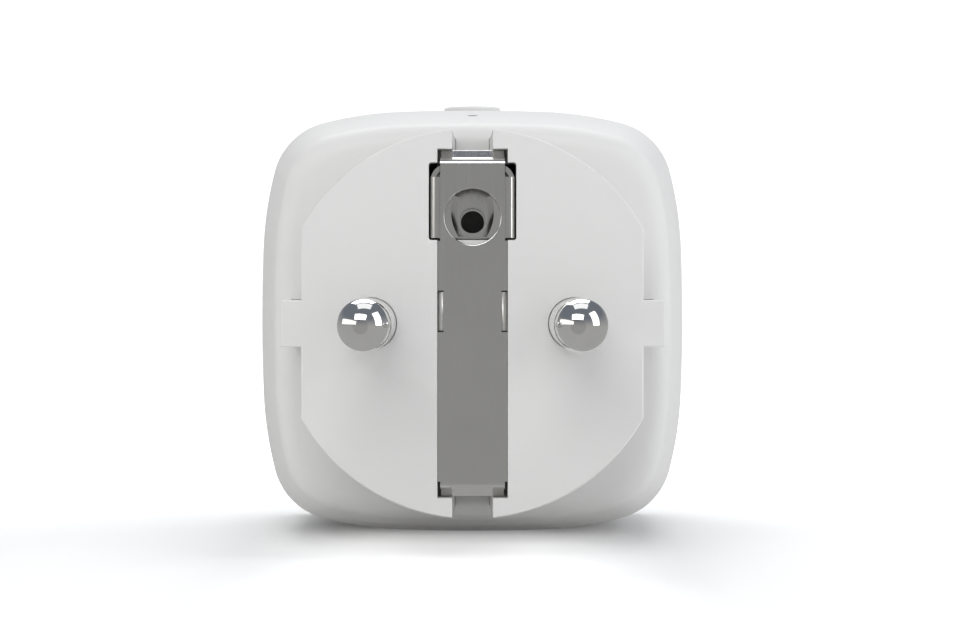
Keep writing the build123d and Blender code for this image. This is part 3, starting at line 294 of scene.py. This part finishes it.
class Look:
    """A node material under construction: object-space textures feeding one Principled shader."""

    def __init__(self, name, roughness=0.5, metallic=0.0):
        self.material = bpy.data.materials.new(name)
        self.material.use_nodes = True
        self.nodes = self.material.node_tree.nodes
        self.links = self.material.node_tree.links
        self.shader = self.nodes["Principled BSDF"]
        self.shader.inputs["Metallic"].default_value = metallic
        self.shader.inputs["Roughness"].default_value = roughness
        self.place = self.nodes.new("ShaderNodeTexCoord").outputs["Object"]

    def spread(self, scale):
        """Object coordinates, scaled per axis in cycles per metre."""
        mapping = self.nodes.new("ShaderNodeMapping")
        mapping.inputs["Scale"].default_value = scale
        self.links.new(self.place, mapping.inputs["Vector"])
        return mapping.outputs["Vector"]

    def noise(self, scale, detail=2.0, roughness=0.5):
        node = self.nodes.new("ShaderNodeTexNoise")
        node.inputs["Scale"].default_value = 1.0
        node.inputs["Detail"].default_value = detail
        node.inputs["Roughness"].default_value = roughness
        per_axis = scale if isinstance(scale, tuple) else (scale,) * 3
        self.links.new(self.spread(per_axis), node.inputs["Vector"])
        return node.outputs["Fac"]

    def bands(self, axis, per_metre):
        node = self.nodes.new("ShaderNodeTexWave")
        node.wave_type = "BANDS"
        node.bands_direction = axis
        node.inputs["Scale"].default_value = per_metre
        self.links.new(self.place, node.inputs["Vector"])
        return node.outputs["Fac"]

    def drift(self, per_metre, detail, colour, spread):
        """Broad, faint drift of the base colour, darker and lighter by the spread."""
        darker = scaled(colour, 1 - spread)
        lighter = scaled(colour, 1 + spread)
        return self.colour(self.ramp(self.noise(per_metre, detail), [(0.3, darker), (0.7, lighter)]))

    def ramp(self, fac, stops):
        """Colour ramp through (position, colour) stops."""
        node = self.nodes.new("ShaderNodeValToRGB")
        elements = node.color_ramp.elements
        while len(elements) < len(stops):
            elements.new(0.5)
        for element, (position, colour) in zip(elements, stops):
            element.position = position
            element.color = (*colour, 1.0)
        self.links.new(fac, node.inputs["Fac"])
        return node.outputs["Color"]

    def range(self, fac, low, high, start=0.3, end=0.7):
        node = self.nodes.new("ShaderNodeMapRange")
        node.inputs["From Min"].default_value = start
        node.inputs["From Max"].default_value = end
        node.inputs["To Min"].default_value = low
        node.inputs["To Max"].default_value = high
        self.links.new(fac, node.inputs["Value"])
        return node.outputs["Result"]

    def colour(self, output):
        self.links.new(output, self.shader.inputs["Base Color"])
        return self

    def roughness(self, output):
        self.links.new(output, self.shader.inputs["Roughness"])
        return self

    def bump(self, *layers):
        """Bumps from (height output, depth in metres) layers, one on top of the other."""
        normal = None
        for height, depth in layers:
            node = self.nodes.new("ShaderNodeBump")
            node.inputs["Strength"].default_value = 1.0
            node.inputs["Distance"].default_value = depth
            self.links.new(height, node.inputs["Height"])
            if normal is not None:
                self.links.new(normal, node.inputs["Normal"])
            normal = node.outputs["Normal"]
        self.links.new(normal, self.shader.inputs["Normal"])
        return self


def moulded(name, colour, roughness, grain=5500.0, depth=1.2e-6, spread=0.015):
    """Injection-moulded plastic: grain in cycles per metre, its depth in metres."""
    look = Look(name, roughness)
    look.drift(60.0, 3.0, colour, spread)
    look.roughness(look.range(look.noise(900.0, 3.0), roughness - 0.05, roughness + 0.05))
    look.bump((look.noise(grain, 2.0, 0.6), depth))
    return look


def rolled_metal(name, colour, roughness, along, fine=9000.0, depth=0.8e-6, spread=0.06):
    """Sheet metal with a rolled grain along one axis."""
    look = Look(name, roughness, metallic=1.0)
    scale = [fine] * 3
    scale["XYZ".index(along)] = fine / GRAIN_STRETCH
    grain = look.noise(tuple(scale), 3.0, 0.6)
    look.drift(250.0, 3.0, colour, spread)
    look.roughness(look.range(grain, roughness - 0.07, roughness + 0.07))
    look.bump((grain, depth))
    return look


def shell_look():
    """Matt white housing plastic, with less shine than the other mouldings."""
    white = (0.77, 0.765, 0.755)
    look = moulded("shell_plastic", white, 0.52, grain=6500.0, depth=2.2e-6, spread=0.006)
    look.shader.inputs["Specular IOR Level"].default_value = 0.35
    return look


def pin_look():
    """Polished nickel with faint handling scratches round the barrel."""
    look = Look("polished_nickel", 0.07, metallic=1.0)
    wear = look.noise((3000.0, 500.0, 3000.0), 3.0, 0.6)
    look.colour(look.ramp(look.noise(400.0), [(0.3, (0.80, 0.795, 0.78)), (0.7, (0.84, 0.835, 0.825))]))
    look.roughness(look.range(wear, 0.045, 0.10))
    look.bump((look.noise(1800.0, 2.0), 0.4e-6))
    return look


def board_look(name, mask, trace):
    """Solder mask over copper: traces show as slightly raised, paler paths."""
    look = Look(name, 0.3)
    cells = look.nodes.new("ShaderNodeTexVoronoi")
    cells.feature = "DISTANCE_TO_EDGE"
    cells.distance = "MANHATTAN"
    cells.inputs["Scale"].default_value = 1.0
    look.links.new(look.spread((420.0, 420.0, 420.0)), cells.inputs["Vector"])
    path = look.range(cells.outputs["Distance"], 1.0, 0.0, 0.06, 0.09)
    look.colour(look.ramp(path, [(0.2, mask), (0.8, trace)]))
    look.roughness(look.range(look.noise(700.0), 0.24, 0.36))
    look.bump((path, 1.5e-5), (look.noise(4000.0), 1.0e-6))
    look.shader.inputs["Coat Weight"].default_value = 0.4
    look.shader.inputs["Coat Roughness"].default_value = 0.15
    return look


def coil_look():
    """Lacquered copper wire, turn beside turn along Y, with painted shade darkening the groove between
    turns.
    """
    look = Look("copper_winding", 0.3, metallic=0.85)
    turn_relief_and_shade = look.bands("Y", 1100.0)
    # painted shade: each turn runs from dark brown in its groove to bright copper on its crown
    look.colour(look.ramp(turn_relief_and_shade, [(0.1, (0.22, 0.07, 0.02)), (0.7, (0.72, 0.30, 0.12))]))
    look.roughness(look.range(look.noise(2500.0), 0.22, 0.38))
    look.bump((turn_relief_and_shade, 4.0e-5))
    look.shader.inputs["Coat Weight"].default_value = 0.5
    return look


def can_look():
    """Sleeved electrolytic can: dark film with a pale stripe and a faint crinkle."""
    look = Look("sleeved_can", 0.28)
    side = look.bands("X", 95.0)
    look.colour(look.ramp(side, [(0.86, (0.03, 0.035, 0.05)), (0.9, (0.55, 0.56, 0.58))]))
    look.roughness(look.range(look.noise(1200.0), 0.2, 0.36))
    look.bump((look.noise(2200.0, 3.0), 3.0e-6))
    return look


def clear_look():
    """Clear acrylic light guide."""
    look = Look("clear_acrylic", 0.12)
    look.colour(look.ramp(look.noise(800.0), [(0.3, (0.80, 0.82, 0.84)), (0.7, (0.88, 0.90, 0.92))]))
    look.shader.inputs["Transmission Weight"].default_value = 0.85
    look.shader.inputs["IOR"].default_value = 1.49
    look.bump((look.noise(2600.0), 1.0e-6))
    return look


def led_look():
    """Small white package with a yellowish phosphor window."""
    look = Look("led_package", 0.35)
    ring = look.noise(1500.0)
    look.colour(look.ramp(ring, [(0.35, (0.85, 0.84, 0.78)), (0.65, (0.80, 0.72, 0.32))]))
    look.roughness(look.range(look.noise(3000.0), 0.25, 0.45))
    look.bump((look.noise(3500.0), 2.0e-6))
    return look


def looks_by_slot():
    """One finished material for every slot of the record."""
    return {
        "shell": shell_look(),
        "pin_plate": pin_look(),
        "earth_metal": rolled_metal(
            "earth_nickel", (0.76, 0.755, 0.735), 0.17, "Z", depth=0.08e-6, spread=0.02
        ),
        "spring_metal": rolled_metal("spring_steel", (0.60, 0.60, 0.59), 0.28, "Y"),
        "contact_bronze": rolled_metal("phosphor_bronze", (0.72, 0.50, 0.30), 0.27, "Y"),
        "carrier_plastic": moulded("carrier_moulding", (0.74, 0.73, 0.69), 0.48),
        "board_green": board_look("green_solder_mask", (0.012, 0.10, 0.035), (0.03, 0.19, 0.07)),
        "module_blue": board_look("blue_solder_mask", (0.010, 0.022, 0.085), (0.03, 0.06, 0.18)),
        "screw_steel": rolled_metal("zinc_plated_steel", (0.62, 0.62, 0.60), 0.3, "Y", fine=5000.0),
        "relay_plastic": moulded("relay_case", (0.035, 0.06, 0.17), 0.32, grain=2500.0),
        "relay_base_plastic": moulded("relay_footing", (0.03, 0.03, 0.034), 0.5),
        "bobbin_plastic": moulded("bobbin_moulding", (0.68, 0.65, 0.56), 0.5),
        "coil_copper": coil_look(),
        "soft_iron": rolled_metal("soft_iron", (0.42, 0.41, 0.40), 0.42, "Y", fine=3000.0, spread=0.12),
        "terminal_tin": rolled_metal("tinned_brass", (0.70, 0.69, 0.66), 0.33, "Y", fine=4000.0),
        "shunt_metal": rolled_metal("manganin", (0.55, 0.42, 0.33), 0.35, "X"),
        "chip_black": moulded("chip_epoxy", (0.022, 0.022, 0.024), 0.55, grain=3500.0, depth=3.0e-6),
        "film_yellow": moulded("film_capacitor_box", (0.78, 0.56, 0.06), 0.36, grain=2500.0),
        "can_aluminium": can_look(),
        "varistor_blue": moulded("varistor_epoxy", (0.02, 0.11, 0.40), 0.3, grain=900.0, depth=1.2e-5),
        "resistor_body": moulded("resistor_cement", (0.36, 0.48, 0.40), 0.5, grain=1800.0, depth=8.0e-6),
        "fuse_body": moulded("fuse_ceramic", (0.66, 0.62, 0.54), 0.4, grain=1800.0, depth=4.0e-6),
        "ferrite": moulded("sintered_ferrite", (0.06, 0.058, 0.056), 0.62, grain=2600.0, depth=6.0e-6),
        "shield_tin": rolled_metal("shield_tin", (0.66, 0.66, 0.64), 0.26, "X"),
        "antenna_gold": rolled_metal("immersion_gold", (0.83, 0.62, 0.28), 0.24, "X"),
        "led_epoxy": led_look(),
        "light_pipe_clear": clear_look(),
    }


def dress_nodes():
    """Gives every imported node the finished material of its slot."""
    looks = looks_by_slot()
    for entry in frame["record"]["subparts"]:
        node = frame["nodes"][entry["node"]]
        material = looks[entry["material_slot"]].material
        if not node.material_slots:
            node.data.materials.append(material)
        for slot in node.material_slots:
            slot.material = material


make_camera()
make_world()
make_lights(SOFTBOXES, in_reflections=True)
make_lights(FILLS, in_reflections=False)
make_floor()
make_bounce()
make_backdrop()
dress_nodes()
bpy.context.scene.view_settings.view_transform = "Standard"
